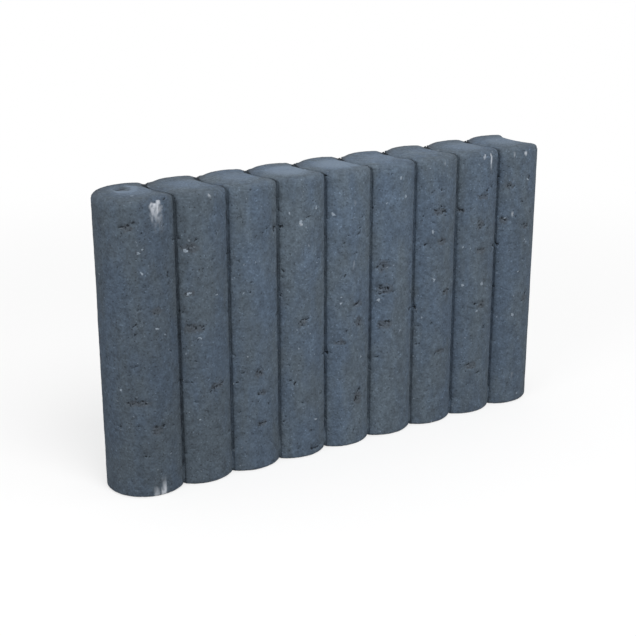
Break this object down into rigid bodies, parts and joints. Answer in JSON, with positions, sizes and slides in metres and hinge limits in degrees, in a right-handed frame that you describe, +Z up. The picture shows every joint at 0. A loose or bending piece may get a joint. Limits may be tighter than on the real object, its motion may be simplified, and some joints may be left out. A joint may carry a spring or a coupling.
{
  "type": "palisade block",
  "caption": "Upright concrete palisade block for edging beds and paths: a row of joined round posts in one casting, with a round end and a hollow end that nest.",
  "frame": {"origin": "middle of the block's base, on the plane that it stands on", "axes": "+X along the row from the round end to the hollow end, +Y through the thickness to the back, +Z up along the posts"},
  "size_m": [0.5118, 0.08, 0.3],
  "materials": {
    "dyed_concrete": "matte, dry-cast, anthracite, with small voids and pale specks"
  },
  "bodies": {
    "root": {"palisade_block": "dyed_concrete"}
  },
  "joints": []
}
